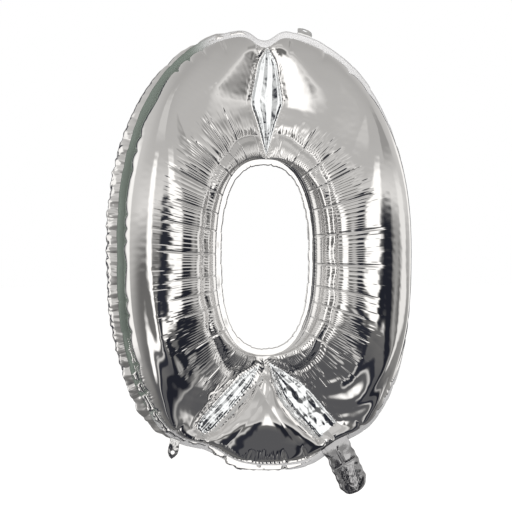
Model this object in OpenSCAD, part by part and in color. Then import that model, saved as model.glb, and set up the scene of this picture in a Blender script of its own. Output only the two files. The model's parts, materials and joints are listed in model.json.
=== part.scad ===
// Inflated foil number balloon, the digit zero.
// Millimetres. X to the right, Z up, the front faces -Y.
// The origin is the centre of the punched hole in the top hanging tab.

/* [Outline] */
// Width of the left half, to the edge of the outer seam
half_width = 116.7; // [60:0.1:250]
// How much wider the right half is
right_more = 1.7; // [-5:0.1:10]
// Height of the top lobes above the middle
top_height = 177; // [90:0.5:380]
// Depth of the bottom below the middle
low_height = 173; // [90:0.5:380]
// Squareness of the top left, 2 is an ellipse
top_square_left = 2.35; // [2:0.01:3]
// Squareness of the top right
top_square_right = 2.22; // [2:0.01:3]
// Squareness of the bottom left
low_square_left = 2.5; // [2:0.01:3]
// Squareness of the bottom right
low_square_right = 2.67; // [2:0.01:3]
// How far the outline steps in above the top dart
notch_depth = 9; // [0:0.5:20]
// Reach of that step round the outline, in degrees
notch_reach = 4; // [2:0.5:12]
// How far the outline steps in at the lower left dart
left_dip = 8.7; // [0:0.1:12]
// Place of that step on the outline, in degrees
left_dip_at = 250.5; // [235:0.5:260]
// Reach of that step round the outline, in degrees
left_dip_reach = 11.6; // [4:0.2:16]
// How far the outline steps in at the neck
right_dip = 7; // [0:0.1:12]
// Place of that step on the outline, in degrees
right_dip_at = 296.3; // [285:0.1:310]
// Reach of that step round the outline, in degrees
right_dip_reach = 11.2; // [4:0.2:16]

/* [Hole of the zero] */
// Half of the open width of the hole
hole_half_width = 34.4; // [15:0.2:80]
// Half of the open height of the hole
hole_half_height = 72; // [30:0.5:160]
// Height of the middle of the hole
hole_middle = -3.2; // [-20:0.2:20]
// Squareness of the hole
hole_square = 2.5; // [2:0.05:3]

/* [Foil sheets] */
// Thickness that stands for the printed film
wall = 0.4; // [0.2:0.05:1]
// Half of the thickness of every fused seam
half_gap = 0.4; // [0.2:0.05:1]
// Width of the outer seam
seam_width = 6; // [3:0.5:12]
// Width of the seam round the hole
hole_seam_width = 5; // [3:0.5:12]

/* [Inflated shape] */
// Depth of each panel at the sides
side_depth = 38; // [15:0.5:80]
// Extra depth of each panel at the top and bottom
end_depth = 5; // [0:0.5:20]
// How far the back panel bellies past the seam, left side
back_belly_left = 19; // [0:0.5:24]
// How far the back panel bellies past the seam, right side
back_belly_right = 3; // [0:0.5:24]
// How far the front panel bellies past the seam
front_belly = 2; // [0:0.5:12]
// Distance over which a panel rises from a dart
dart_rise = 34; // [15:1:80]

/* [Darts] */
// Air passage between the two welds of a dart
passage = 2.5; // [1:0.5:6]
// Widest half width of the top dart
top_dart_half = 12.8; // [5:0.2:25]
// Half width of the lower left dart
left_dart_half = 6.2; // [3:0.2:20]
// Widest half width of the lower right dart
right_dart_half = 9.8; // [3:0.2:20]

/* [Filling neck] */
// Place of the neck on the outline, in degrees
neck_at = 294.5; // [280:0.5:320]
// Direction of the neck below the horizontal, in degrees
neck_lean = 62; // [20:1:90]
// Width of the neck
neck_width = 23; // [12:0.5:50]
// Length of the neck
neck_length = 36; // [20:1:90]
// Width of the weld along each side of the neck
neck_weld = 3; // [1.5:0.5:6]
// Thickness of each valve film
film = 0.25; // [0.1:0.05:0.4]
// Half of the slot between the valve films
slot_half = 0.1; // [0.05:0.01:0.2]
// Width of the valve films in the neck
valve_width = 16; // [8:0.5:40]
// Width of the seal along each side of the valve films
valve_seal = 1.5; // [0.5:0.5:4]

/* [Hanging tabs] */
// Place of the top tab on the outline, in degrees
top_tab_at = 76.5; // [60:0.5:120]
// How far the top tab is bent back, in degrees
top_tab_bend = 60; // [0:5:90]
// Width of the top tab
top_tab_width = 12; // [8:0.5:25]
// Length of the top tab
top_tab_length = 12; // [8:0.5:25]
// Radius of the punched hole in the top tab
top_hole_r = 2; // [1:0.1:4]
// Place of the lower tab on the outline, in degrees
low_tab_at = 236.5; // [200:0.5:250]
// Direction of the lower tab below the horizontal, in degrees
low_tab_lean = 102; // [90:1:140]
// Width of the lower tab
low_tab_width = 8.5; // [6:0.5:20]
// Length of the lower tab
low_tab_length = 12.5; // [8:0.5:30]
// Radius of the punched hole in the lower tab
low_hole_r = 1.6; // [1:0.1:3]

/* [Hidden] */
steps = 128;              // stations round the ring
arc_rows = 12;            // steps from seam to seam over a panel
rows = arc_rows + 3;
joint_gap = 0.35;         // clearance kept at every fold line
fold_r = half_gap + wall; // radius of the rounded fold of the neck
neck_clear = 1.9;         // room for the outline, which isn't straight behind the neck
hang_reach = 6.5;         // fold line of the top tab to its hole
low_reach = 7;            // fold line of the lower tab to its hole

silver = [0.78, 0.79, 0.8];
seam_grey = [0.62, 0.64, 0.63];
web_grey = [0.7, 0.71, 0.73];
clear_film = [0.86, 0.9, 0.92];

// ---- outlines, as points [x, z] ----

function sign_of(v) = v < 0 ? -1 : 1;
function rounded(t, a, b, n) = [a * sign_of(cos(t)) * pow(abs(cos(t)), 2 / n),
                                b * sign_of(sin(t)) * pow(abs(sin(t)), 2 / n)];
function bell(t, at, w) = let (d = (t - at + 540) % 360 - 180) exp(-d * d / (w * w));

// Line of the seam round the hole. The stations are turned so that the spokes cross both seams squarely.
function hole_seam(t) = let (s = t + 12 * sin(2 * t))
    rounded(s, hole_half_width + hole_seam_width, hole_half_height + hole_seam_width, hole_square)
    + [0, hole_middle];

// Outer seam line before the darts pull it in.
function plain_seam(t) = let (up = sin(t) >= 0, right = cos(t) >= 0)
    rounded(t, half_width + (right ? right_more : 0) - seam_width,
            (up ? top_height : low_height) - seam_width,
            up ? (right ? top_square_right : top_square_left) : right ? low_square_right : low_square_left);

function spoke(t) = let (d = plain_seam(t) - hole_seam(t)) d / norm(d);
function outer_seam(t) = plain_seam(t)
    - spoke(t) * (notch_depth * bell(t, 90, notch_reach)
                  + left_dip * bell(t, left_dip_at, left_dip_reach)
                  + right_dip * bell(t, right_dip_at, right_dip_reach));
// Stations stand closer together at the top and bottom, where the darts are.
function station(j) = let (s = 360 * j / steps) s + 12 * sin(2 * s);
function outer_edge(t) = outer_seam(t) + spoke(t) * seam_width;
function hole_edge(t) = hole_seam(t) - spoke(t) * hole_seam_width;

// ---- darts: a row of [distance from the inner tip, half width] along a straight axis ----

top_tip = [1, 77];
top_end = [2, 163];
left_tip = [-4, -88];
left_end = [-57, -146];
right_tip = [2.6, -86];
right_end = [51.5, -142];

top_web = [[24 + passage, 7.4], [41, top_dart_half], [74, 7], [85, 0]];
top_small = [[0, 0], [24, 6.7]];
left_web = [[17 + passage, 5.4], [36, left_dart_half], [64, left_dart_half], [70, 3.5]];
left_small = [[0, 0], [17, 5.8]];
right_web = [[19 + passage, 6], [28, 8.6], [42, right_dart_half], [73, 9.2]];
right_small = [[0, 0], [19, 6]];

darts = [[top_tip, top_end, concat(top_small, top_web)],
         [left_tip, left_end, concat(left_small, left_web)],
         [right_tip, right_end, concat(right_small, right_web)]];

function half_at(s, w) = s <= w[0][0] ? w[0][1] : s >= w[len(w) - 1][0] ? w[len(w) - 1][1] : lookup(s, w);
function from_dart(p, d) = let (e = (d[1] - d[0]) / norm(d[1] - d[0]), v = p - d[0],
        s = v * e, q = abs(v.x * e.y - v.y * e.x), last = d[2][len(d[2]) - 1][0],
        past = max(0, -s, s - last), side = max(0, q - half_at(s, d[2])))
    norm([past, side]);
// 0 on a dart, 1 once clear of it
function freed(p, k = 0) = k == len(darts) ? 1
    : let (g = min(1, from_dart(p, darts[k]) / dart_rise)) pow(1 - pow(1 - g, 2), 0.65) * freed(p, k + 1);

// ---- panels ----

function depth(t) = side_depth + end_depth * pow(sin(t), 2);
function belly(t, back) = back ? back_belly_right + (back_belly_left - back_belly_right) * (1 - cos(t)) / 2
                               : front_belly;

// Point of a panel at station t and row k. skin is 0 inside the air space and 1 outside.
function panel_point(t, k, back, skin) = let (
        o = outer_seam(t), i = hole_seam(t), mid = (o + i) / 2, a = norm(o - i) / 2,
        e = (o - i) / (2 * a), th = 180 * (k - 1) / arc_rows,
        in = k > 0 && k < rows - 1,
        free = in ? freed(mid + e * a * cos(th)) : 0,
        bulge = th < 90 ? belly(t, back) * sin(2 * th) * free : 0,
        reach = k == 0 ? a + seam_width : k == rows - 1 ? -a - hole_seam_width
              : (a - (1 - skin) * wall) * cos(th) + bulge,
        p = mid + e * reach,
        y = half_gap + skin * wall + (in ? (depth(t) - wall) * sin(th) * free : 0))
    [p.x, back ? y : -y, p.y];

function at(j, k, skin) = ((j % steps) * rows + k) * 2 + skin;
function flip(f, yes) = yes ? [for (q = f) [q[2], q[1], q[0]]] : f;

module panel(back) {
    points = [for (j = [0 : steps - 1], k = [0 : rows - 1], skin = [0, 1])
              panel_point(station(j), k, back, skin)];
    skins = [for (j = [0 : steps - 1], k = [0 : rows - 2], f = [
              [at(j, k, 1), at(j + 1, k, 1), at(j + 1, k + 1, 1)],
              [at(j, k, 1), at(j + 1, k + 1, 1), at(j, k + 1, 1)],
              [at(j, k, 0), at(j + 1, k + 1, 0), at(j + 1, k, 0)],
              [at(j, k, 0), at(j, k + 1, 0), at(j + 1, k + 1, 0)]]) f];
    rims = [for (j = [0 : steps - 1], k = [0, rows - 1]) let (z = k == 0, a = at(j, k, 0), b = at(j + 1, k, 0),
              c = at(j + 1, k, 1), d = at(j, k, 1)) for (f = z ? [[a, b, c], [a, c, d]] : [[a, c, b], [a, d, c]]) f];
    polyhedron(points = points, faces = flip(concat(skins, rims), back));
}

// ---- flat work: every child is drawn in [x, z] and becomes a layer from y1 to y2 ----

module layer(y1, y2) translate([0, y2, 0]) rotate([90, 0, 0]) linear_extrude(height = y2 - y1) children();
module web(d, w) {
    e = (d[1] - d[0]) / norm(d[1] - d[0]);
    turned = atan2(e.y, e.x);
    n = len(w);
    rim = concat([for (q = w) [q[0], -q[1]]], [for (k = [n - 1 : -1 : 0]) if (w[k][1] > 0) [w[k][0], w[k][1]]]);
    layer(-half_gap, half_gap) translate(d[0]) rotate(turned) polygon(rim);
}
module ring(far, near) difference() {
    polygon(far);
    polygon(near);
}

// Neck: its own flat frame has x along the neck, from the fold line
neck_dir = [cos(neck_lean), -sin(neck_lean)];
neck_side = [sin(neck_lean), cos(neck_lean)];
neck_root = outer_edge(neck_at) + neck_dir * (fold_r + joint_gap + neck_clear);
module in_neck() translate(neck_root) rotate(-neck_lean) children();
// Outline of the neck between two margins from its edge, rounded at the mouth
module neck_blank(margin, from) {
    w = neck_width / 2 - margin;
    r = neck_width * 0.42 - margin;
    l = neck_length - margin;
    hull() {
        translate([from, -w]) square([1, 2 * w]);
        translate([l - r, w - r]) circle(r = r, $fn = 48);
        translate([l - r, r - w]) circle(r = r, $fn = 48);
    }
}
// Half-round fold along the neck's root, on the front or the back
module neck_fold(back) intersection() {
    translate([neck_root.x, 0, neck_root.y]) rotate([0, neck_lean, 0])
        cylinder(h = neck_width, r = fold_r, center = true, $fn = 40);
    translate([neck_root.x - neck_width, back ? half_gap : -fold_r - 1, neck_root.y - neck_width])
        cube([2 * neck_width, fold_r + 1 - half_gap, 2 * neck_width]);
}
module neck_foil(back) union() {
    layer(back ? half_gap : -fold_r, back ? fold_r : -half_gap) in_neck() neck_blank(0, 0);
    neck_fold(back);
}
module neck_edge(side) layer(-half_gap, half_gap) intersection() {
    in_neck() difference() {
        neck_blank(0, 0.2);
        neck_blank(neck_weld, -1);
        translate([neck_length - 9, -neck_width / 2]) square([20, neck_width]);
    }
    in_neck() translate([0, side > 0 ? 0 : -neck_width]) square([neck_length, neck_width]);
}
module valve_sheet() in_neck() translate([0.2, -valve_width / 2]) square([neck_length - 5, valve_width]);
module valve_edges() in_neck() for (s = [-1, 1])
    translate([0.2, s > 0 ? valve_width / 2 - valve_seal : -valve_width / 2]) square([neck_length - 5, valve_seal]);

// Tongue of the valve: a band that turns into the lower chamber, given by its two edges
function bend(p, q, r, n) = [for (k = [0 : n]) let (u = k / n)
    p * (1 - u) * (1 - u) + q * 2 * u * (1 - u) + r * u * u];
tongue_root = outer_edge(neck_at) - neck_dir * (joint_gap + 0.6);
tongue_high = [for (g = [0, 1]) tongue_root + neck_side * (valve_width / 2 - g * valve_seal)];
tongue_low = [for (g = [0, 1]) tongue_root - neck_side * (valve_width / 2 - g * valve_seal)];
tongue_end = [4, -143];
function tongue_upper(g) = concat([tongue_high[g]],
    bend(tongue_high[g] - neck_dir * 6.5, [46, -152 - g * valve_seal], [24, -147.5 - g * valve_seal], 10),
    [tongue_end + [0, 7 - g * valve_seal]]);
function tongue_lower(g) = concat([tongue_low[g]],
    bend(tongue_low[g] - neck_dir * 6.5, [38, -158.5 + g * valve_seal], [24, -157 + g * valve_seal], 10),
    [tongue_end - [0, 7 - g * valve_seal]]);
function turned_back(list) = [for (k = [len(list) - 1 : -1 : 0]) list[k]];
module tongue_sheet() polygon(concat(tongue_upper(0), turned_back(tongue_lower(0))));
module tongue_edges() {
    polygon(concat(tongue_upper(0), turned_back(tongue_upper(1))));
    polygon(concat(tongue_lower(0), turned_back(tongue_lower(1))));
}

// Tabs
function edge_normal(t) = let (d = outer_edge(t + 1) - outer_edge(t - 1), n = [d.y, -d.x] / norm(d))
    n * spoke(t) > 0 ? n : -n;
top_dir = edge_normal(top_tab_at);
top_root = outer_edge(top_tab_at) + top_dir * (half_gap + joint_gap + 0.25);
low_dir = [cos(low_tab_lean), -sin(low_tab_lean)];
low_root = outer_edge(low_tab_at) + low_dir * (half_gap + joint_gap + 1.1);
hang = [top_root.x + top_dir.x * hang_reach * cos(top_tab_bend), hang_reach * sin(top_tab_bend),
        top_root.y + top_dir.y * hang_reach * cos(top_tab_bend)];

// Flat tab in a frame of its own: x along the tab, y its thickness, z across
module tab_blank(long, wide, root_wide, hole_at, hole_r) difference() {
    union() {
        layer(-half_gap, half_gap) polygon(concat([[0, -root_wide / 2], [0, root_wide / 2]],
            [for (k = [0 : 20]) let (a = 100 - k * 10) [long - wide / 2 + wide / 2 * cos(a), wide / 2 * sin(a)]]));
        cylinder(h = root_wide, r = half_gap, center = true, $fn = 32);
    }
    translate([hole_at, 0, 0]) rotate([90, 0, 0]) cylinder(h = 4, r = hole_r, center = true, $fn = 48);
}

module placed() translate(-hang) children();

// ---- the nodes ----

module front_panel() color(silver) placed() panel(false);
module back_panel() color(silver) placed() panel(true);
module outer_seam_weld() color(seam_grey) placed() layer(-half_gap, half_gap) difference() {
    ring([for (j = [0 : steps - 1]) outer_edge(station(j))],
         [for (j = [0 : steps - 1]) outer_seam(station(j))]);
    in_neck() translate([-25, -valve_width / 2 - 0.5]) square([30, valve_width + 1]);
}
module hole_seam_weld() color(seam_grey) placed() layer(-half_gap, half_gap)
    ring([for (j = [0 : steps - 1]) hole_seam(station(j))],
         [for (j = [0 : steps - 1]) hole_edge(station(j))]);
module top_dart() color(web_grey) placed() web(darts[0], top_web);
module top_dart_tip() color(web_grey) placed() web(darts[0], top_small);
module left_dart() color(web_grey) placed() web(darts[1], left_web);
module left_dart_tip() color(web_grey) placed() web(darts[1], left_small);
module right_dart() color(web_grey) placed() web(darts[2], right_web);
module right_dart_tip() color(web_grey) placed() web(darts[2], right_small);
module tongue_front_film() color(clear_film) placed() layer(-slot_half - film, -slot_half) tongue_sheet();
module tongue_back_film() color(clear_film) placed() layer(slot_half, slot_half + film) tongue_sheet();
module tongue_side_seals() color(clear_film) placed() layer(-slot_half, slot_half) tongue_edges();
module neck_front_foil() color(silver) placed() neck_foil(false);
module neck_back_foil() color(silver) placed() neck_foil(true);
module neck_upper_weld() color(seam_grey) placed() neck_edge(1);
module neck_lower_weld() color(seam_grey) placed() neck_edge(-1);
module valve_front_film() color(clear_film) placed() layer(-slot_half - film, -slot_half) valve_sheet();
module valve_back_film() color(clear_film) placed() layer(slot_half, slot_half + film) valve_sheet();
module valve_side_seals() color(clear_film) placed() layer(-slot_half, slot_half) valve_edges();
module top_hang_tab() color(silver) placed() translate([top_root.x, 0, top_root.y])
    rotate([0, -atan2(top_dir.y, top_dir.x), 0]) rotate([0, 0, top_tab_bend])
    tab_blank(top_tab_length, top_tab_width, top_tab_width, hang_reach, top_hole_r);
module lower_hang_tab() color(silver) placed() translate([low_root.x, 0, low_root.y])
    rotate([0, low_tab_lean, 0]) tab_blank(low_tab_length, low_tab_width, 5, low_reach, low_hole_r);

front_panel();
back_panel();
outer_seam_weld();
hole_seam_weld();
top_dart();
top_dart_tip();
left_dart();
left_dart_tip();
right_dart();
right_dart_tip();
tongue_front_film();
tongue_back_film();
tongue_side_seals();
neck_front_foil();
neck_back_foil();
neck_upper_weld();
neck_lower_weld();
valve_front_film();
valve_back_film();
valve_side_seals();
top_hang_tab();
lower_hang_tab();
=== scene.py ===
import bpy, json, math
import numpy as np
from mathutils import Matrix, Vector

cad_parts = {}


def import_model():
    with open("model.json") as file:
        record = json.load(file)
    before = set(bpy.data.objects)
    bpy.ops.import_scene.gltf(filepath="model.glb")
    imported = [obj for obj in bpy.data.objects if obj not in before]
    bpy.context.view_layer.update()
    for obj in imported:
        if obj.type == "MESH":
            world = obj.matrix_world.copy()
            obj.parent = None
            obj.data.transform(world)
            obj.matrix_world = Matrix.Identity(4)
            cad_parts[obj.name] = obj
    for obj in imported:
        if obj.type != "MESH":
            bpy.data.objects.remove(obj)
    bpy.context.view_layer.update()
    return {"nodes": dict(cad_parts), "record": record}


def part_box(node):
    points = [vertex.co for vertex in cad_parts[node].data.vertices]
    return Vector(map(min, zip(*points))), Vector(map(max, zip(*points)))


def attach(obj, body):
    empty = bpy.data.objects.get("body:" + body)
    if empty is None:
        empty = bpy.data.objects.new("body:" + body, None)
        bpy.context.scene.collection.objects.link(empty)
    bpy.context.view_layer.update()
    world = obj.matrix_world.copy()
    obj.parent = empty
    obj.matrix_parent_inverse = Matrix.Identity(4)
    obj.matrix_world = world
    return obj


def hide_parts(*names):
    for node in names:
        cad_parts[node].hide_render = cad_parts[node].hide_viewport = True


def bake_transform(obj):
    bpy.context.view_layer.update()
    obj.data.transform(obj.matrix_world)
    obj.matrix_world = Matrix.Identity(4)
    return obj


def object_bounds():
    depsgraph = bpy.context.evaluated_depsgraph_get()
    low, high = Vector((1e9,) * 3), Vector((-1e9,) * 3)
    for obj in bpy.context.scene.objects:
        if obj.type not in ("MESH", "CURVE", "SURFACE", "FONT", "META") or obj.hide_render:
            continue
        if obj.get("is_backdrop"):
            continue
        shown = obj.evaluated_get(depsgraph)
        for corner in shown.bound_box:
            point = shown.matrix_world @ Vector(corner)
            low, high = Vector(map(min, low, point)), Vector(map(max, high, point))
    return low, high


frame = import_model()
scene = bpy.context.scene

# ---------------------------------------------------------------- frame
# The shapes below are worked out in millimetres about the middle of the balloon, as in part.scad,
# and moved to the row frame, whose origin is the punched hole of the top tab.
lo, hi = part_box("hole_seam_weld")
HALF_L, HALF_R, TOP, LOW = 116.7, 118.4, 177.0, 173.0      # from the middle to each side of the outline
HOLE_HALF_W, HOLE_HALF_H, HOLE_Z = 34.4, 72.0, -3.2        # the hole's half sizes, and its middle's height
FLANGE, HOLE_FLANGE = 6.0, 5.0                             # widths of the sealed bands
MM = 0.001
MID = (np.array(lo) + np.array(hi)) / 2 / MM - (0, 0, HOLE_Z)


def to_frame(p):
    """Metres in the row frame, from millimetres about the middle."""
    return (np.asarray(p, float) + MID) * MM


def rng(seed):
    return np.random.default_rng(seed)


def step(x, a, b):
    """0 up to a and 1 from b on, smoothly."""
    u = np.clip((x - a) / (b - a), 0, 1)
    return u * u * (3 - 2 * u)


def waves(u, v, short, long, count, seed):
    """Smooth noise of unit size in the plane (u, v), with wavelengths from short to long."""
    r, out = rng(seed), 0.0
    for _ in range(count):
        w, a, f = r.uniform(short, long), r.uniform(0, math.tau), r.uniform(0, math.tau)
        out = out + np.cos(math.tau / w * (u * math.cos(a) + v * math.sin(a)) + f)
    return out / math.sqrt(count / 2)


def creases(u, v, sizes, count, seed):
    """Crumpled film: flat facets that meet in sharp creases, from 0 to 1."""
    r, out = rng(seed), 0.0
    for _ in range(count):
        w, a, f = r.uniform(*sizes), r.uniform(0, math.tau), r.uniform(0, 1)
        out = out + np.abs(((u * math.cos(a) + v * math.sin(a)) / w + f) % 1 - 0.5) * 2
    return out / count


# ---------------------------------------------------------------- outlines, as points (x, z)
def rounded(t, a, b, n):
    """A superellipse with half sizes a and b: 2 is an ellipse, and more is squarer."""
    c, s = np.cos(t), np.sin(t)
    return np.stack([a * np.sign(c) * np.abs(c) ** (2 / n), b * np.sign(s) * np.abs(s) ** (2 / n)], -1)


def bell(t, at, wide):
    """1 at an angle in degrees round the ring, falling to nothing on both sides of it."""
    d = (np.degrees(t) - at + 540) % 360 - 180
    return np.exp(-(d / wide) ** 2)


def hole_seam(t):
    """Where the hole's band meets the film, with more of its points at the ends than at the sides."""
    t = t + math.radians(12) * np.sin(2 * t)
    return rounded(t, HOLE_HALF_W + HOLE_FLANGE, HOLE_HALF_H + HOLE_FLANGE, 2.5) + (0, HOLE_Z)


def plain_seam(t):
    """Where the outer band meets the film, before the notches: four quarters of different squareness."""
    up, right = np.sin(t) >= 0, np.cos(t) >= 0
    n = np.where(up, np.where(right, 2.22, 2.35), np.where(right, 2.67, 2.5))
    return rounded(t, np.where(right, HALF_R, HALF_L) - FLANGE, np.where(up, TOP, LOW) - FLANGE, n)


def spoke(t):
    """Unit vectors straight out from the hole seam to the outer seam."""
    d = plain_seam(t) - hole_seam(t)
    return d / np.linalg.norm(d, axis=-1, keepdims=True)


def outer_seam(t):
    """The plain seam with its notches at the head and on both sides of the foot."""
    dip = 9 * bell(t, 90, 4) + 8.7 * bell(t, 250.5, 11.6) + 7 * bell(t, 296.3, 11.2)
    return plain_seam(t) - spoke(t) * dip[..., None]


# Stations round the ring, evenly spaced on a line that lies INNER of the way in from the outer seam
INNER = 0.62
J = 1760                                                   # stations
fine = np.linspace(0, math.tau, 40001)
line = hole_seam(fine) * INNER + outer_seam(fine) * (1 - INNER)
run = np.concatenate([[0], np.cumsum(np.linalg.norm(np.diff(line, axis=0), axis=1))])
RING = run[-1]
T = np.interp(np.arange(J) / J * RING, run, fine)
RUN = np.arange(J) / J                                     # 0 to 1 round the ring
SEAM, HOLE = outer_seam(T), hole_seam(T)
HALF = np.linalg.norm(SEAM - HOLE, axis=1) / 2
OUT = (SEAM - HOLE) / (2 * HALF)[:, None]
CENTRE = (SEAM + HOLE) / 2

# ---------------------------------------------------------------- darts
PASSAGE = 2.5                                              # along a dart, from its tip to its web
# name, start and end as (x, z), then the half widths of the tip and of the web as (way along, half width)
DARTS = [
    ("top", (1, 77), (2, 163),
     [(0, 0), (24, 6.7)], [(24 + PASSAGE, 7.4), (41, 12.8), (74, 7), (85, 0)]),
    ("left", (-4, -88), (-57, -146),
     [(0, 0), (17, 5.8)], [(17 + PASSAGE, 5.4), (36, 6.2), (64, 6.2), (70, 3.5)]),
    ("right", (2.6, -86), (51.5, -142),
     [(0, 0), (19, 6)], [(19 + PASSAGE, 6), (28, 8.6), (42, 9.8), (73, 9.2)]),
]


def dart_frame(dart):
    """Start of a dart and the unit vector along it."""
    a, b = np.array(dart[1], float), np.array(dart[2], float)
    return a, (b - a) / np.linalg.norm(b - a)


def profile(dart):
    """The way along a dart and its half width there, as two arrays, with its corners eased."""
    w = np.array(dart[3] + dart[4], float)
    s = np.arange(0, w[-1, 0] + 0.1, 1.0)
    half = np.interp(s, w[:, 0], w[:, 1])
    padded = np.concatenate([2 * half[0] - half[6:0:-1], half, 2 * half[-1] - half[-2:-8:-1]])
    eased = np.convolve(padded, np.hanning(15)[1:-1] / np.hanning(15).sum(), "valid")
    return s, np.maximum(eased, 0)


def on_dart(x, z, dart):
    """(way along the dart, signed way across, half width there)"""
    a, e = dart_frame(dart)
    s = (x - a[0]) * e[0] + (z - a[1]) * e[1]
    q = (x - a[0]) * -e[1] + (z - a[1]) * e[0]
    return s, q, np.interp(s, *profile(dart), left=-1, right=-1)


def off_dart(x, z, dart):
    """Distance from the outline of a dart, 0 inside it."""
    s, q, half = on_dart(x, z, dart)
    w = np.stack(profile(dart), -1)[::3]
    w = np.concatenate([w, [(w[-1, 0] + 0.1, 0)]])
    out, q = np.full(x.shape, 1e9), np.abs(q)
    for (s0, q0), (s1, q1) in zip(w[:-1], w[1:]):
        along = (s - s0) * (s1 - s0) + (q - q0) * (q1 - q0)
        f = np.clip(along / ((s1 - s0) ** 2 + (q1 - q0) ** 2), 0, 1)
        out = np.minimum(out, np.hypot(s - s0 - f * (s1 - s0), q - q0 - f * (q1 - q0)))
    return np.where(q <= half, 0, out)


def least(a, b, soft):
    """The smaller of two heights, rounded off where they cross."""
    return np.maximum(0, (a + b - np.sqrt((a - b) ** 2 + soft ** 2)) / 2)


def held_down(h, x, z, offs):
    """The film rises off each dart as a cone and meets the tube in a soft crest. On the foot's side of the
    two lower darts the cone is steeper and the crest is rounder."""
    for m, (dart, off) in enumerate(zip(DARTS, offs)):
        s, q, _ = on_dart(x, z, dart)
        foot = step(q if m == 1 else -q, 0, 3) * step(s, -2, 8) if m else 0 * q
        slope, soft = 0.66 + 0.14 * (m > 0) + 0.80 * foot, 6 + 3 * (m > 0) + 12 * foot
        cone = slope * off * (1 - 0.25 * np.clip(off / 60, 0, 1))
        h = least(h, cone, soft * np.clip(off / (6 + 9 * foot), 0, 1))
    return h


# ---------------------------------------------------------------- the two sheets
def pleat(q):
    """Round ridges between sharp valleys, one for each whole number of q, about zero."""
    return np.abs(np.sin(math.pi * q)) ** 0.85 - 0.62


def each(q, count, seed, low=0.0, high=1.0):
    """One random number for each pleat, held over the pleat and round the ring."""
    v = rng(seed).uniform(low, high, count)
    return v[np.floor(q).astype(int) % count]


def ring_noise(u, count, seed):
    """Smooth noise that closes round the ring, u from 0 to 1, with waves of 1 to count turns."""
    r, out = rng(seed), 0.0
    for n in range(1, count + 1):
        out = out + r.normal() * np.cos(math.tau * n * u + r.uniform(0, math.tau))
    return out / math.sqrt(count / 2)


def ring_waves(q, short, long, turns, count, seed):
    """Noise that varies over q, in millimetres, and only slowly round the ring, and closes there."""
    r, out = rng(seed), 0.0
    u = RUN[:, None]
    for _ in range(count):
        phase = q / r.uniform(short, long) + r.integers(-turns, turns + 1) * u
        out = out + np.cos(math.tau * phase + r.uniform(0, math.tau))
    return out / math.sqrt(count / 2)


def web_relief(m, s, q, half):
    """Height of the crumpled web of dart m, at s along it and q across."""
    seed, share = 40 + 10 * m, q / np.maximum(half, 0.1)
    edge = half - np.abs(q)
    # folds that run along it, short teeth at its edges, and flat cells between creases
    ridge = 1 - np.abs(((share * 1.25 + 0.5 + 0.10 * np.sin(s / 9 + m)) % 1) - 0.5) * 2
    teeth = pleat(s / 1.95 + 0.25 * waves(s, q, 6, 12, 8, seed))
    cells = creases(s, q * 0.8, ((8, 15), (8, 16), (7, 13))[m], 4, seed + 1)
    out = (0.40, 0.3, 0.35)[m] * ridge + (0.60, 0.9, 1.6)[m] * (cells - 0.35)
    out += 0.34 * teeth * (0.12 + np.exp(-(np.maximum(edge - 1.2, 0) / 1.5) ** 2))
    out += 0.13 * (creases(s, q, (2.5, 5.5), 6, seed + 2) - 0.5)
    return out * step(edge, 0.1, 2.2)


PLEATS, BUNDLES = 252, 28                                  # pleats round the hole, and their bundles
GORES, SEAM_PLEATS = 44, 340                               # flat gores and short pleats along the outer seam
GORE_SEED = 15                                             # the front film and both bands share their gores
BACK_SEED = 500                                            # added to the seeds of the back sheet
SKIN = 0.2                                                 # from the middle plane to the film at a seam
CLEARANCE = 0.12                                           # least distance of the film from the middle plane


def tube(back, K):
    """The smooth inflated sheet: points, their distances from the darts, and how free of those they are."""
    seed = BACK_SEED if back else 0
    th = np.linspace(0, math.pi, K)[None, :]               # 0 at the outer seam, half a turn at the hole seam
    a = HALF[:, None]
    flat = CENTRE[:, None, :] + OUT[:, None, :] * (a * np.cos(th))[..., None]
    offs = [off_dart(flat[..., 0], flat[..., 1], d) for d in DARTS]
    free = 1.0
    for off in offs:
        free = free * (1 - (1 - np.clip(off / 33, 0, 1)) ** 2) ** 0.8
    left, right = (1 - np.cos(T))[:, None] / 2, (1 + np.cos(T))[:, None] / 2
    belly = (3 + 17 * left) if back else 2 + 5 * right ** 2 * (1 - bell(T, 60, 25)[:, None])
    bulge = np.where(th < math.pi / 2, np.sin(2 * th), 0) * belly * free
    plan = CENTRE[:, None, :] + OUT[:, None, :] * (a * np.cos(th) + bulge)[..., None]
    x, z = plan[..., 0], plan[..., 1]

    deep = (38 + 5 * np.sin(T) ** 2 - 13 * bell(T, 90, 24) - 6 * bell(T, 272, 20))[:, None]
    # a larger slant lifts the film off the outer seam at a gentler slope: at the head, foot and corners
    slant = 0.94 + 0.8 * bell(T, 90, 15) + 0.3 * bell(T, 225, 24)
    slant = (slant + 0.75 * bell(T, 322, 15) + 1.5 * bell(T, 272, 15))[:, None]
    power = np.where(th < math.pi / 2, slant, 0.94)
    h = held_down(deep * np.sin(th) ** power, flat[..., 0], flat[..., 1], offs)
    # the foot and the head slope down to the outer seam at about 27 degrees
    for at, wide, slope, soft in ((273, 24, 0.50, 12), (90, 34, 0.50, 5)):
        share = bell(T, at, wide)[:, None]
        h = h + share * (least(h, slope * a * (1 - np.cos(th)), soft * np.sin(th / 2)) - h)
    # the belly of the film isn't quite even: long soft waves, and dents low down at the sides
    even = (1 - 0.8 * bell(T, 90, 36))[:, None]
    h = h + even * free * np.sin(th) * 0.45 * waves(x, z * 0.6, 60, 110, 10, seed + 1)
    corner = step(-z, 70, 120) * step(np.abs(x), 30, 60)
    h = h + corner * free * np.sin(th) * 0.55 * waves(x, z * 0.6, 16, 30, 14, seed + 3)
    y = (SKIN + h) * (1 if back else -1)
    return np.stack([x, y, z], -1), offs, free


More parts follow.
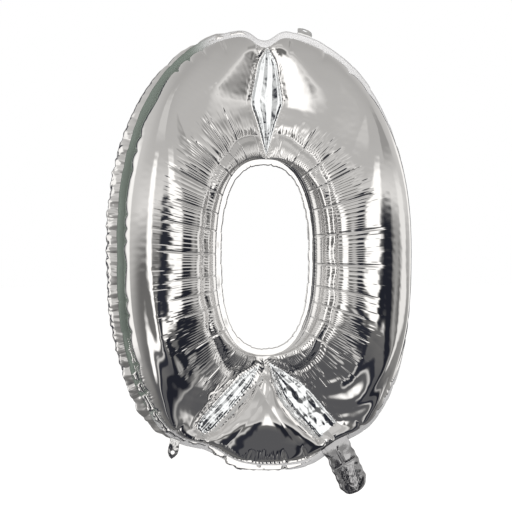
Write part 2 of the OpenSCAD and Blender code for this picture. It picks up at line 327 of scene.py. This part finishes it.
def outward(P, back):
    """Unit normals of a sheet, pointing away from the middle plane."""
    N = np.cross(np.gradient(P, axis=1), np.roll(P, -1, 0) - np.roll(P, 1, 0))
    N /= np.linalg.norm(N, axis=2, keepdims=True) + 1e-12
    return -N if (N[..., 1].sum() > 0) != back else N


def hole_pleats(P, from_in, seed):
    """Pleats that fan out from the hole to just past the crown, in bundles. Also how far each one reaches."""
    x, y, z = P[..., 0], P[..., 1], P[..., 2]
    u = RUN[:, None] + 0 * from_in
    share = 0.16 + 0.40 * np.abs(np.cos(T)) ** 0.8         # of the way in from the outer seam
    row = np.arccos(2 * share - 1) / math.pi * (P.shape[1] - 1)
    k0 = np.floor(row).astype(int)
    j = np.arange(J)
    whole = from_in[j, k0] + (from_in[j, k0 + 1] - from_in[j, k0]) * (row - k0)

    q = u * PLEATS + 0.5 * ring_noise(RUN, 36, seed + 5)[:, None]
    b = u * BUNDLES + 0.3 * ring_noise(RUN, 9, seed + 6)[:, None]
    into = b % 1                                           # 0 to 1 over a bundle of pleats
    reach = whole[:, None] - 4 + 6 * np.sin(math.pi * into) ** 0.5
    reach = reach + each(q, PLEATS, seed + 7, -5, 3) + 2 * ring_noise(RUN, 5, seed + 8)[:, None]
    # the lip is the groove between the band of film next to the hole and the pleats outside it
    lip = 29 * (whole[:, None] / 62) ** 0.4 + 0.7 * ring_noise(RUN, 24, seed + 11)[:, None]
    size = each(q, PLEATS, seed + 9, 0.65, 1.25)
    outer_part = step(from_in, lip - 1, lip + 4) * (1 - step(from_in, reach - 9, reach))
    inner_part = step(from_in, 0.5, 5) * (1 - step(from_in, lip - 3, lip))

    d = (0.17 + 0.10 * step(z, 10, 80)) * size * outer_part * pleat(q)
    d += 0.10 * inner_part * pleat(q + 0.3 * waves(x, z + y, 6, 11, 10, seed + 10))
    d += 1.1 * np.sin(math.pi * np.clip(from_in / lip, 0, 1)) ** 0.8
    d -= 1.2 * np.exp(-((from_in - lip) / 3.4) ** 2)
    lip_creases = creases(x * 1.3 + y, z * 1.3, (2.6, 5.5), 8, seed + 12) - 0.5
    d += 0.55 * np.exp(-((from_in - lip) / 3.0) ** 2) * lip_creases
    d += 0.45 * step(from_in, reach - 5, reach + 5)
    # a deeper fold between bundles, which swell a little
    near = np.minimum(into, 1 - into) * RING / BUNDLES
    ends = reach + each(b + 0.5, BUNDLES, seed + 13, 3, 11)
    d -= 0.6 * np.exp(-(near / 0.7) ** 2) * step(from_in, 2, 16) * (1 - step(from_in, ends - 10, ends))
    swell = step(from_in, lip, lip + 14) * (1 - step(from_in, reach - 12, reach + 6))
    return d + 0.5 * np.sin(math.pi * into) * swell, reach


def crown(z, from_in, from_out, reach, free, seed):
    """The smooth film outside the pleats: streaks that run round the ring, stronger low down."""
    even = (1 - 0.8 * bell(T, 90, 36))[:, None]
    foot = (1 - 0.75 * bell(T, 273, 24))[:, None]
    smooth = step(from_in, reach, reach + 12) * step(from_out, 6, 18) * free * foot
    streaks = ring_waves(from_out, 11, 26, 3, 14, seed + 14)
    return even * (0.04 + 0.46 * step(-z, 0, 110)) * smooth * streaks


def seam_gathers(P, from_out, back, seed):
    """Short pleats along the outer seam, in clusters, with flat gores between, and the crinkled back."""
    x, y, z = P[..., 0], P[..., 1], P[..., 2]
    u = RUN[:, None] + 0 * from_out
    g = u * GORES + 0.4 * ring_noise(RUN, 14, seed + GORE_SEED)[:, None]
    q = u * SEAM_PLEATS + 0.7 * ring_noise(RUN, 50, seed + 16)[:, None]
    busy = step(ring_noise(RUN, 16, seed + 17), -0.5, 1.0)[:, None]
    cluster = bell(T, 213, 15) + bell(T, 327, 7) + 0.8 * bell(T, 272, 5) + 0.5 * bell(T, 128, 14)
    cluster = np.minimum(cluster, 1)[:, None]
    long_ = (4 + 5 * busy + 12 * cluster) * each(q, SEAM_PLEATS, seed + 18, 0.65, 1.25)
    off_seam = step(from_out, 0.2, 1.5)

    tall = 0.13 + 0.13 * busy + 0.24 * cluster
    d = tall * pleat(q) * off_seam * (1 - step(from_out, long_ * 0.6, long_))
    into = g % 1
    puff, wide = (1.7, 26) if back else (1.1, 18)
    d += puff * (np.sin(math.pi * into) ** 0.7 - 0.7) * step(from_out, 0.5, 6) * (1 - step(from_out, 8, wide))
    near = np.minimum(into, 1 - into) * RING * 1.3 / GORES
    d -= 0.8 * np.exp(-near ** 2) * off_seam * (1 - step(from_out, 6, 16))
    if back:
        edge = step(from_out, 0.5, 5) * (1 - step(from_out, 20, 34)) * (1 - 0.75 * step(z, 75, 110))
        large = creases(x + 0.6 * y, z, (7, 13), 4, seed + 19) - 0.4
        small = creases(x + y, z, (3, 6), 5, seed + 20) - 0.5
        d += edge * (3.6 * large + 1.1 * small)
    return d


def dart_relief(x, z, offs, seed):
    """Puckers that stand off both edges of each dart, and the crumpled web between them."""
    d = np.zeros(x.shape)
    for m, (dart, off) in enumerate(zip(DARTS, offs)):
        s, q, half = on_dart(x, z, dart)
        inside = (off <= 0) & (s > 0)
        beside = (s > -2) & (s < dart[4][-1][0] + 3) & ~inside
        ridges = pleat(s / 2.2 + 0.2 * waves(x, z, 6, 12, 8, seed + 20 + m))
        strength = each(s / 2.2 + 40, 97, seed + 30 + m, 0.6, 1.25)
        d += np.where(beside, 0.5 * strength * ridges * np.exp(-(off / 3.4) ** 2), 0)
        d += np.where(inside, web_relief(m, s, q, half), 0)
    return d


def sheet(back, K):
    """Points [J, K, 3] of one sheet from the outer seam to the hole seam, and its plan x and z."""
    seed = BACK_SEED if back else 0
    P, offs, free = tube(back, K)
    x, y, z = P[..., 0].copy(), P[..., 1], P[..., 2].copy()
    seg = np.linalg.norm(np.diff(P, axis=1), axis=2)
    from_out = np.concatenate([np.zeros((J, 1)), np.cumsum(seg, 1)], 1)
    from_in = from_out[:, -1:] - from_out

    d, reach = hole_pleats(P, from_in, seed)
    d += crown(z, from_in, from_out, reach, free, seed)
    d += seam_gathers(P, from_out, back, seed)
    d *= step(np.minimum.reduce(offs), 0, 7)
    d += dart_relief(x, z, offs, seed)
    d *= step(from_in, 0.0, 1.5) * step(from_out, 0.0, 0.8)
    faint = waves(x + 0.4 * y, z + 0.3 * y, 4, 9, 20, seed + 60)
    d += 0.010 * faint * step(from_out, 0, 4) * step(from_in, 0, 4)
    P = P + outward(P, back) * d[..., None]
    P[..., 1] = np.maximum(P[..., 1], CLEARANCE) if back else np.minimum(P[..., 1], -CLEARANCE)
    return P, x, z


# ---------------------------------------------------------------- making meshes
def add(name, points, faces, material):
    """A smooth-shaded mesh object in the scene, from points in metres."""
    mesh = bpy.data.meshes.new(name)
    points = np.asarray(points, np.float32)
    faces = np.asarray(faces, np.int32)
    n, width = faces.shape
    mesh.vertices.add(len(points))
    mesh.vertices.foreach_set("co", points.ravel())
    mesh.loops.add(n * width)
    mesh.loops.foreach_set("vertex_index", faces.ravel())
    mesh.polygons.add(n)
    mesh.polygons.foreach_set("loop_start", np.arange(0, n * width, width, dtype=np.int32))
    mesh.polygons.foreach_set("loop_total", np.full(n, width, np.int32))
    mesh.update(calc_edges=True)
    mesh.validate()
    mesh.polygons.foreach_set("use_smooth", np.full(len(mesh.polygons), True))
    mesh.materials.append(material)
    obj = bpy.data.objects.new(name, mesh)
    scene.collection.objects.link(obj)
    return obj


def grid_faces(rows_, cols, base=0, closed=True, flip=False):
    """Four-sided faces of a grid of points; a closed one joins its last row to its first."""
    j = np.arange(rows_ if closed else rows_ - 1)[:, None]
    k = np.arange(cols - 1)[None, :]
    jn = (j + 1) % rows_
    f = np.stack([j * cols + k, j * cols + k + 1, jn * cols + k + 1, jn * cols + k], -1).reshape(-1, 4) + base
    return f[:, ::-1] if flip else f


def cut(points, faces, keep):
    """Only the faces asked for, with the points they use."""
    faces = faces[keep]
    used, where = np.unique(faces, return_inverse=True)
    return points[used], where.reshape(faces.shape)


# ---------------------------------------------------------------- materials
def material(name, build):
    m = bpy.data.materials.new(name)
    m.use_nodes = True
    nt = m.node_tree
    build(nt, nt.nodes["Principled BSDF"])
    return m


def texture(nt, kind, **values):
    """A procedural texture over the object's own coordinates, in metres."""
    place = nt.nodes.new("ShaderNodeTexCoord")
    n = nt.nodes.new(kind)
    for key, v in values.items():
        n.inputs[key].default_value = v
    nt.links.new(place.outputs["Object"], n.inputs["Vector"])
    return n


def remap(nt, source, low, high, to_low=0.0, to_high=1.0, smooth=False):
    """A value from low to high, turned into one from to_low to to_high."""
    n = nt.nodes.new("ShaderNodeMapRange")
    if smooth:
        n.interpolation_type = "SMOOTHSTEP"
    for key, v in (("From Min", low), ("From Max", high), ("To Min", to_low), ("To Max", to_high)):
        n.inputs[key].default_value = v
    nt.links.new(source, n.inputs["Value"])
    return n.outputs["Result"]


def ramp(nt, source, stops):
    r = nt.nodes.new("ShaderNodeValToRGB")
    while len(r.color_ramp.elements) < len(stops):
        r.color_ramp.elements.new(0.5)
    for e, (at, colour) in zip(r.color_ramp.elements, stops):
        e.position, e.color = at, (*colour, 1)
    nt.links.new(source, r.inputs["Fac"])
    return r.outputs["Color"]


def bump(nt, height, strength, distance):
    b = nt.nodes.new("ShaderNodeBump")
    b.inputs["Strength"].default_value = strength
    b.inputs["Distance"].default_value = distance
    nt.links.new(height, b.inputs["Height"])
    return b.outputs["Normal"]


def foil(low_rough, high_rough, tint, grain):
    """Metallised film, with a haze between two roughnesses, a faint change of tint and a fine grain."""
    def build(nt, p):
        p.inputs["Metallic"].default_value = 1.0
        broad = texture(nt, "ShaderNodeTexNoise", Scale=14.0, Detail=3.0, Roughness=0.5)
        paler = tuple(min(1, c * 1.05) for c in tint)
        nt.links.new(ramp(nt, broad.outputs["Fac"], [(0.3, tint), (0.7, paler)]), p.inputs["Base Color"])
        haze = texture(nt, "ShaderNodeTexNoise", Scale=55.0, Detail=4.0, Roughness=0.6)
        rough = remap(nt, haze.outputs["Fac"], 0.35, 0.7, low_rough, high_rough)
        nt.links.new(rough, p.inputs["Roughness"])
        tiny = texture(nt, "ShaderNodeTexNoise", Scale=420.0, Detail=2.0, Roughness=0.5)
        nt.links.new(bump(nt, tiny.outputs["Fac"], grain, 0.0004), p.inputs["Normal"])
    return build


def sealed(nt, p):
    """Heat-sealed band: satin, with a fine knurl. Its colour holds painted shade: grey-green down the left
    side, fading out at the lower end, and pale elsewhere.
    """
    p.inputs["Metallic"].default_value = 0.55
    p.inputs["Roughness"].default_value = 0.36
    place = nt.nodes.new("ShaderNodeTexCoord")
    sep = nt.nodes.new("ShaderNodeSeparateXYZ")
    nt.links.new(place.outputs["Object"], sep.inputs[0])
    mid_x, _, mid_z = MID * MM
    # painted shade: the band turns grey-green left of x = -62 mm and above its lower end; the rest stays pale
    side = remap(nt, sep.outputs["X"], mid_x - 0.062, mid_x - 0.038, smooth=True)
    low = remap(nt, sep.outputs["Z"], mid_z - 0.118, mid_z - 0.142, smooth=True)
    pale = nt.nodes.new("ShaderNodeMath")
    pale.operation = "MAXIMUM"
    nt.links.new(side, pale.inputs[0])
    nt.links.new(low, pale.inputs[1])
    broad = texture(nt, "ShaderNodeTexNoise", Scale=9.0, Detail=2.0, Roughness=0.5)
    mix = nt.nodes.new("ShaderNodeMix")
    mix.data_type = "RGBA"
    nt.links.new(pale.outputs[0], mix.inputs["Factor"])
    shade_greens = [(0.3, (0.215, 0.255, 0.225)), (0.7, (0.27, 0.32, 0.285))]
    pales = [(0.3, (0.74, 0.74, 0.75)), (0.7, (0.86, 0.86, 0.87))]
    nt.links.new(ramp(nt, broad.outputs["Fac"], shade_greens), mix.inputs[6])
    nt.links.new(ramp(nt, broad.outputs["Fac"], pales), mix.inputs[7])
    nt.links.new(mix.outputs[2], p.inputs["Base Color"])
    knurl = texture(nt, "ShaderNodeTexVoronoi", Scale=1400.0)
    nt.links.new(bump(nt, knurl.outputs["Distance"], 0.03, 0.0001), p.inputs["Normal"])


def clear(nt, p):
    """Clear film of the valve, a little uneven."""
    p.inputs["Base Color"].default_value = (0.86, 0.9, 0.92, 1)
    p.inputs["Transmission Weight"].default_value = 0.35
    p.inputs["IOR"].default_value = 1.5
    uneven = texture(nt, "ShaderNodeTexNoise", Scale=60.0, Detail=3.0)
    nt.links.new(remap(nt, uneven.outputs["Fac"], 0.0, 1.0, 0.15, 0.4), p.inputs["Roughness"])
    nt.links.new(bump(nt, uneven.outputs["Fac"], 0.2, 0.0005), p.inputs["Normal"])


# least and most roughness, tint, and strength of the grain
FOIL = material("foil", foil(0.008, 0.03, (0.90, 0.895, 0.89), 0.02))
WEB = material("web_foil", foil(0.05, 0.13, (0.86, 0.89, 0.91), 0.08))
CRUMPLED = material("crumpled_foil", foil(0.08, 0.2, (0.74, 0.745, 0.745), 0.25))
# the neck's dark tint, 0.44 against 0.90 for the rest of the foil, is painted shade on its crumpled tail
NECK = material("neck_film_painted_shade", foil(0.10, 0.24, (0.44, 0.44, 0.45), 0.2))
HEM = material("hole_hem", foil(0.03, 0.08, (0.92, 0.92, 0.92), 0.05))
SEALED = material("sealed_band", sealed)
CLEAR = material("valve_film", clear)

# ---------------------------------------------------------------- envelope
KF, KB, KFL = 118, 84, 6                                   # points across the front, the back and a band
front, fx, fz = sheet(False, KF)
rear, bx, bz = sheet(True, KB)


def split_sheet(P, x, z, K, back):
    """Points, faces and a label for each face: 0 for film, 1 + 2m for dart m's tip, 2 + 2m for its web."""
    pts, faces = P.reshape(-1, 3), grid_faces(J, K, flip=back)
    cx, cz = x.reshape(-1)[faces].mean(1), z.reshape(-1)[faces].mean(1)
    label = np.zeros(len(faces), int)
    for m, d in enumerate(DARTS):
        s, q, half = on_dart(cx, cz, d)
        tip, web = d[3], d[4]
        hit = np.abs(q) <= half
        label[hit & (s > tip[0][0]) & (s <= tip[-1][0] + PASSAGE / 2)] = 1 + 2 * m
        label[hit & (s > tip[-1][0] + PASSAGE / 2) & (s < web[-1][0])] = 2 + 2 * m
    return pts, faces, label


def part_of(half, code):
    """The points and faces of one label."""
    pts, faces, label = half
    return cut(pts, faces, label == code)


halves = [split_sheet(front, fx, fz, KF, False), split_sheet(rear, bx, bz, KB, True)]
for name, half, stands in (("foil_front", halves[0], "front_panel"), ("foil_back", halves[1], "back_panel")):
    pts, faces = part_of(half, 0)
    o = add(name, to_frame(pts), faces, FOIL)
    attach(o, "envelope")
    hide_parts(stands)
for m, d in enumerate(DARTS):
    for kind, code in (("tip", 1 + 2 * m), ("web", 2 + 2 * m)):
        (pa, fa), (pb, fb) = (part_of(half, code) for half in halves)
        pts, faces = np.concatenate([pa, pb]), np.concatenate([fa, fb + len(pa)])
        o = add(f"dart_{kind}_{d[0]}", to_frame(pts), faces, WEB)
        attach(o, "envelope")
        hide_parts(f"{d[0]}_dart_tip" if kind == "tip" else f"{d[0]}_dart")


def band(name, line_, out, wide, seed, stands, mat, ripple, lean):
    """A sealed band that leaves line_ in direction out: two faces and an edge, with a kink at every gore."""
    f = np.linspace(0, 1, KFL)[None, :]
    g = RUN * GORES + 0.4 * ring_noise(RUN, 14, GORE_SEED)
    kink = np.abs(g % 1 - 0.5) * 2
    w = wide + 0.12 * ring_noise(RUN, 60, seed) + each(g, GORES, seed + 3, -0.35, 0.35) - 0.35 * kink ** 6
    lat = f * w[:, None]
    wave = 0.5 * ring_noise(RUN, 20, seed + 1) + 0.9 * each(g, GORES, seed + 4, -0.5, 0.5) * (1 - kink ** 4)
    mid_y = f ** 1.3 * (ripple * wave + lean)[:, None]
    p2 = line_[:, None, :] + out[:, None, :] * lat[..., None]
    points = []
    for side in (-1, 1):
        y = mid_y + side * np.where(f > 0.96, 0.10, 0.2)
        points.append(np.stack([p2[..., 0], y + 0 * lat, p2[..., 1]], -1).reshape(-1, 3))
    n, rim = J * KFL, KFL - 1
    j = np.arange(J)
    jn = (j + 1) % J
    edge = np.stack([j * KFL + rim, jn * KFL + rim, n + jn * KFL + rim, n + j * KFL + rim], -1)
    faces = np.concatenate([grid_faces(J, KFL, 0, flip=True), grid_faces(J, KFL, n), edge])
    o = add(name, to_frame(np.concatenate(points)), faces, mat)
    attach(o, "envelope")
    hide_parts(stands)


TUCK = 0.3                                                 # how far a band starts under the film
crumple = bell(T, 90, 5) + bell(T, 241, 6)
towards_back = 1.6 * np.maximum(0, -np.cos(T)) + 1.2 * np.maximum(0, -np.sin(T))
band("seam_outer", SEAM - OUT * TUCK, OUT, FLANGE + 0.1, 900, "outer_seam_weld", SEALED,
     0.30 + 1.6 * crumple, towards_back)
band("seam_hole", HOLE + OUT * TUCK, -OUT, HOLE_FLANGE + 0.3, 930, "hole_seam_weld", HEM, 0.22, 0 * T)

# ---------------------------------------------------------------- neck
REC_JOINTS = {j["name"]: j for j in frame["record"]["behaviour"]["joints"]}


def hinge(name):
    """Position in millimetres, axis, and the direction away from the outline of a fold line."""
    pos, axis = (np.array(REC_JOINTS[name][k], float) for k in ("pos_m", "axis"))
    return pos / MM, axis, np.array([axis[2], 0, -axis[0]])


NECK_LONG, NECK_HALF, NECK_INSIDE = 36.0, 11.5, 9.0        # past the fold, half width, and the part before it
MOUTH_R = 9.7                                              # rounding of the neck's end


def neck():
    """Two crumpled sheets that close at both sides and round the mouth, bent at the fold line."""
    pos, side, out = hinge("neck_fold")
    U, V = 190, 120
    u = np.linspace(-NECK_INSIDE, NECK_LONG, U)[:, None]
    v = np.linspace(-1, 1, V)[None, :]
    end = u - NECK_LONG + MOUTH_R
    rounding = NECK_HALF - MOUTH_R + np.sqrt(np.clip(MOUTH_R ** 2 - end ** 2, 0.01, None))
    w = np.where(end > 0, rounding, NECK_HALF)
    w = w * (1 - 0.05 * np.exp(-((u - 1) / 3) ** 2))
    w = w + 0.22 * waves(u, 0 * u, 5, 13, 6, 71) * step(NECK_LONG - u, 0, 6)
    sheets, faces = [], []
    for k, sgn in enumerate((-1, 1)):
        uu, vv = u + 0 * v, v * w
        round_ = np.clip(1 - v ** 2, 0, 1) ** 0.6
        # two flattened pads by the fold, then the crumpled tail that falls away
        pad = step(uu, -6, 1.5) * (0.8 + 2.3 * step(uu, -4, 9)) * (1 - 0.62 * step(uu, 9.0, 11.5))
        groove = 1 - 0.75 * np.exp(-((vv + 0.8) / 1.1) ** 2) * (1 - step(uu, 8, 12))
        tail = 0.9 + 1.3 * np.sin(math.pi * np.clip((uu - 6) / 34, 0, 1))
        large = creases(uu, vv, (10, 18), 5, 80 + k) - 0.5
        fine = creases(uu, vv, (2.8, 6), 8, 84 + k) - 0.5
        tiny = creases(uu, vv, (0.9, 1.8), 5, 86 + k) - 0.5
        body = step(uu, 9, 12)
        crumple = (1.1 * large + 0.45 * fine + 0.16 * tiny) * (0.3 + 0.7 * body) * step(uu, -7, -2)
        y = 0.5 + round_ * (pad * groove + tail * body + crumple)
        y = np.maximum(y, 0.16 + 0.45 * (1 - v ** 6))
        sway = 0.105 * waves(uu, vv, 9, 20, 6, 90)
        bent = -0.0016 * np.clip(uu, 0, None) ** 2
        p = pos + out * (uu + sway)[..., None] + side * (vv + sway + bent)[..., None]
        p = p + np.array([0, 1, 0]) * (sgn * y)[..., None]
        sheets.append(p.reshape(-1, 3))
        faces.append(grid_faces(U, V, k * U * V, closed=False, flip=sgn < 0))
    # the welded edge closes the two sheets along both sides and round the mouth
    n = U * V
    i = np.arange(U - 1)
    for col, turn in ((0, 1), (V - 1, -1)):
        rim = np.stack([i * V + col, (i + 1) * V + col, n + (i + 1) * V + col, n + i * V + col], -1)
        faces.append(rim[:, ::turn])
    last = (U - 1) * V + np.arange(V - 1)
    faces.append(np.stack([last, last + 1, n + last + 1, n + last], -1))
    o = add("neck_foil", np.concatenate(sheets) * MM, np.concatenate(faces), NECK)
    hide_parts("neck_front_foil", "neck_back_foil", "neck_upper_weld", "neck_lower_weld")
    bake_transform(o)


neck()

# ---------------------------------------------------------------- hanging tabs
TAB_THICK = 0.22                                           # millimetres


def tab(name, joint, stands, rim, hole_at, hole_r, lean, seed, curl):
    """A punched tab. rim: its outline as (along, across) from the fold, going round once. It lies at lean
    degrees to the flat seam; its points run from the hole to the rim along n spokes."""
    pos, axis, out = hinge(joint)
    a = math.radians(lean)
    along = out * math.cos(a) + np.array([0, 1, 0]) * math.sin(a)
    face = -out * math.sin(a) + np.array([0, 1, 0]) * math.cos(a)
    rim = np.array(rim, float)
    n, rings = 120, 16
    phi = np.linspace(-math.pi, math.pi, n, endpoint=False)
    reach = np.full(n, 0.0)                                # from the middle of the hole to the rim
    for p, q in zip(rim - (hole_at, 0), np.roll(rim, -1, 0) - (hole_at, 0)):
        e = q - p
        den = np.cos(phi) * e[1] - np.sin(phi) * e[0]
        den = np.where(np.abs(den) < 1e-9, 1e-9, den)
        far = (p[0] * e[1] - p[1] * e[0]) / den
        part = (p[0] * np.sin(phi) - p[1] * np.cos(phi)) / den
        hit = (far > 0) & (part >= -1e-6) & (part <= 1 + 1e-6)
        reach = np.where(hit, np.maximum(reach, far), reach)
    f = np.linspace(0, 1, rings)[None, :]
    rad = hole_r + (reach[:, None] - hole_r) * f
    u, v = hole_at + rad * np.cos(phi)[:, None], rad * np.sin(phi)[:, None]
    free_part = step(u, 0.5, 3)
    large, small = creases(u, v, (4, 9), 5, seed) - 0.5, creases(u, v, (1.5, 3), 6, seed + 1) - 0.5
    crease = (0.55 * large + 0.25 * small) * f
    y = (crease + curl * (np.clip(u - 2, 0, None) / 10) ** 2 + 0.02 * curl * v ** 2) * free_part
    p = pos + out * np.minimum(u, 0)[..., None] + along * np.clip(u, 0, None)[..., None]
    p = p + axis * v[..., None] + face * y[..., None]
    o = add(name, p.reshape(-1, 3) * MM, grid_faces(n, rings), CRUMPLED)
    o.modifiers.new("thickness", "SOLIDIFY").thickness = TAB_THICK * MM
    o.modifiers["thickness"].offset = 0
    bpy.context.view_layer.objects.active = o
    o.select_set(True)
    bpy.ops.object.modifier_apply(modifier="thickness")
    o.select_set(False)
    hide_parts(stands)
    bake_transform(o)


def round_end(long_, wide, turns=20):
    """Points of a half circle that ends a strip."""
    r = wide / 2
    angles = [math.radians(90 - 180 / turns * k) for k in range(turns + 1)]
    return [(long_ - r + r * math.cos(a), r * math.sin(a)) for a in angles]


TOP_RIM = [(-3.2, -6), (-3.2, 6)] + round_end(12, 12)
LEAF_RIM = [(-4.6, -4.4), (-3.0, 4.2), (0, 3.7), (4.2, 4.3), (7.6, 3.9), (10.2, 2.3), (12.4, 0.2),
            (10.6, -2.2), (7.4, -3.9), (3.4, -4.2), (0, -3.9)]
tab("tab_top", "top_tab_fold", "top_hang_tab", TOP_RIM,
    hole_at=6.5, hole_r=2.0, lean=60, seed=120, curl=0.5)
tab("tab_lower", "lower_tab_fold", "lower_hang_tab", LEAF_RIM,
    hole_at=7.0, hole_r=1.6, lean=0, seed=130, curl=1.5)

# ---------------------------------------------------------------- the CAD nodes that stay
for group in ("tongue", "valve"):
    for piece in ("front_film", "back_film", "side_seals"):
        for s in frame["nodes"][f"{group}_{piece}"].material_slots:
            s.link = "OBJECT"
            s.material = CLEAR

# ---------------------------------------------------------------- studio
AIM = to_frame((-7.1, 0, -2.4))                            # what the camera looks at

# The plain room that the film mirrors: grey walls, darker low down, with a few softboxes and black flags.
# Heights are the z of a direction, from -1 straight down to 1 straight up. Degrees go round the room from
# 0 at the front, more to the right. Brightness 1 is white.
FRONT_WALL = [(-0.70, 0.10), (-0.30, 0.16), (-0.05, 0.14), (0.10, 0.75), (0.30, 0.50), (1.00, 0.40)]
REAR_WALL = [(-0.70, 0.15), (-0.10, 0.40), (0.10, 0.62), (0.35, 0.58), (1.00, 0.40)]    # (height, brightness)
REAR_FROM, REAR_SOFT = 90, 25                           # where the front wall gives way to the rear wall
PANEL_SOFT, PANEL_SOFT_Z = 4, 0.08                      # soft edge of each panel, in degrees and in height
PANELS = [                                              # middle, half width, lowest, highest, brightness
    (-50, 8, -0.55, 0.30, 1.20),                        # softbox, front left
    (15, 12, -0.30, 0.30, 1.15),                        # softbox, front right
    (80, 8, -0.55, 0.20, 0.85),                         # softbox, right side
    (-25, 4, -0.90, -0.20, 0.60),                       # low strip light, front left
    (60, 4, -0.90, 0.00, 0.35),                         # low strip light, front right
    (-10, 8, -1.10, 0.10, 0.03),                        # the dark gap where the camera stands
    (40, 10, -1.10, 0.05, 0.02),                        # black flag beside the right softbox
    (-40, 25, 0.45, 0.75, 0.60),                        # overhead softbox, front left
    (65, 20, 0.35, 0.65, 0.32),                         # grey screen, high on the right
    (-130, 10, -0.30, 0.30, 1.00),                      # softbox, rear left
    (-155, 8, -0.60, 0.50, 0.05),                       # black flag, rear left
    (130, 10, -0.30, 0.30, 1.00),                       # softbox, rear right
    (155, 8, -0.60, 0.50, 0.05),                        # black flag, rear right
]


def grey(brightness):
    """Warm grey light; what is left dark is a little blue."""
    cool = max(0.0, 1 - brightness / 0.12)
    tints = ((1.02, 0.75), (1.0, 0.85), (0.975, 1.3))
    return tuple(brightness * (warm * (1 - cool) + blue * cool) for warm, blue in tints)


def world():
    w = bpy.data.worlds.new("studio")
    scene.world = w
    w.use_nodes = True
    nt = w.node_tree
    nt.nodes.clear()
    L = nt.links.new

    def math_(op, a, b):
        n = nt.nodes.new("ShaderNodeMath")
        n.operation = op
        for socket, v in zip(n.inputs, (a, b)):
            if isinstance(v, (int, float)):
                socket.default_value = v
            else:
                L(v, socket)
        return n.outputs[0]

    def soft(x, at, edge):
        """0 below at and 1 above it, softly; the other way round if edge is negative."""
        ends = (0, 1) if edge > 0 else (1, 0)
        return remap(nt, x, at - abs(edge), at + abs(edge), *ends, smooth=True)

    def mix(fac, a, b):
        n = nt.nodes.new("ShaderNodeMix")
        n.data_type = "RGBA"
        L(fac, n.inputs["Factor"])
        L(a, n.inputs[6])
        if isinstance(b, tuple):
            n.inputs[7].default_value = (*b, 1)
        else:
            L(b, n.inputs[7])
        return n.outputs[2]

    tc = nt.nodes.new("ShaderNodeTexCoord")
    sep = nt.nodes.new("ShaderNodeSeparateXYZ")
    L(tc.outputs["Generated"], sep.inputs[0])
    x, y, z = sep.outputs
    # round the room from the front, which is -Y, and how far up as 0 to 1
    degrees = math_("MULTIPLY", math_("ARCTAN2", x, math_("MULTIPLY", y, -1.0)), 360 / math.tau)
    up = math_("MULTIPLY", math_("ADD", z, 1.0), 0.5)

    def wall(tones):
        return ramp(nt, up, [((height + 1) / 2, grey(v)) for height, v in tones])

    c = mix(soft(math_("ABSOLUTE", degrees, 0.0), REAR_FROM, REAR_SOFT), wall(FRONT_WALL), wall(REAR_WALL))
    for middle, half, low, high, v in PANELS:
        left, right = soft(degrees, middle - half, PANEL_SOFT), soft(degrees, middle + half, -PANEL_SOFT)
        across = math_("MULTIPLY", left, right)
        tall = math_("MULTIPLY", soft(z, low, PANEL_SOFT_Z), soft(z, high, -PANEL_SOFT_Z))
        c = mix(math_("MULTIPLY", across, tall), c, grey(v))
    seen = nt.nodes.new("ShaderNodeLightPath")
    c = mix(seen.outputs["Is Camera Ray"], c, (1.0, 1.0, 1.0))
    bg = nt.nodes.new("ShaderNodeBackground")
    L(c, bg.inputs["Color"])
    out = nt.nodes.new("ShaderNodeOutputWorld")
    L(bg.outputs[0], out.inputs["Surface"])


world()


def lamp(name, place, size, watts):
    """A soft light for what is satin or matt; the film's own reflections come from the room."""
    light = bpy.data.lights.new(name, "AREA")
    light.size, light.energy = size, watts
    o = bpy.data.objects.new(name, light)
    scene.collection.objects.link(o)
    o.location = Vector(AIM) + Vector(place)
    o.rotation_mode = "QUATERNION"
    o.rotation_quaternion = Vector(place).to_track_quat("Z", "Y")
    o.visible_glossy = False
    o.visible_camera = False


lamp("front_light", place=(0.3, -1.4, 0.7), size=1.0, watts=11.0)

FLOOR_HALF, FLOOR_BELOW = 6, 0.02                           # metres


def floor():
    mesh = bpy.data.meshes.new("floor")
    z, r = float(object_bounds()[0][2]) - FLOOR_BELOW, FLOOR_HALF
    mesh.from_pydata([(-r, -r, z), (r, -r, z), (r, r, z), (-r, r, z)], [], [(0, 1, 2, 3)])
    m = bpy.data.materials.new("floor")
    m.use_nodes = True
    p = m.node_tree.nodes["Principled BSDF"]
    p.inputs["Base Color"].default_value = (0.86, 0.86, 0.86, 1)
    p.inputs["Roughness"].default_value = 0.8
    p.inputs["Emission Color"].default_value = (1, 1, 1, 1)
    p.inputs["Emission Strength"].default_value = 0.62
    mesh.materials.append(m)
    o = bpy.data.objects.new("floor", mesh)
    scene.collection.objects.link(o)
    o.visible_glossy = False
    o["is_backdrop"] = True


floor()

LENS, SENSOR, VIEW_WIDE = 100, 36, 0.404                   # millimetres, and metres seen across at AIM
CAMERA_AZ, CAMERA_EL = math.radians(-8), math.radians(0.5)


def camera():
    cam = bpy.data.cameras.new("camera")
    cam.lens, cam.sensor_width = LENS, SENSOR
    o = bpy.data.objects.new("camera", cam)
    scene.collection.objects.link(o)
    level = math.cos(CAMERA_EL)
    back = Vector((math.sin(CAMERA_AZ) * level, -math.cos(CAMERA_AZ) * level, math.sin(CAMERA_EL)))
    o.location = Vector(AIM) + back * (VIEW_WIDE * LENS / SENSOR)
    o.rotation_mode = "QUATERNION"
    o.rotation_quaternion = (-back).to_track_quat("-Z", "Y")
    scene.camera = o


camera()
scene.view_settings.view_transform = "Standard"
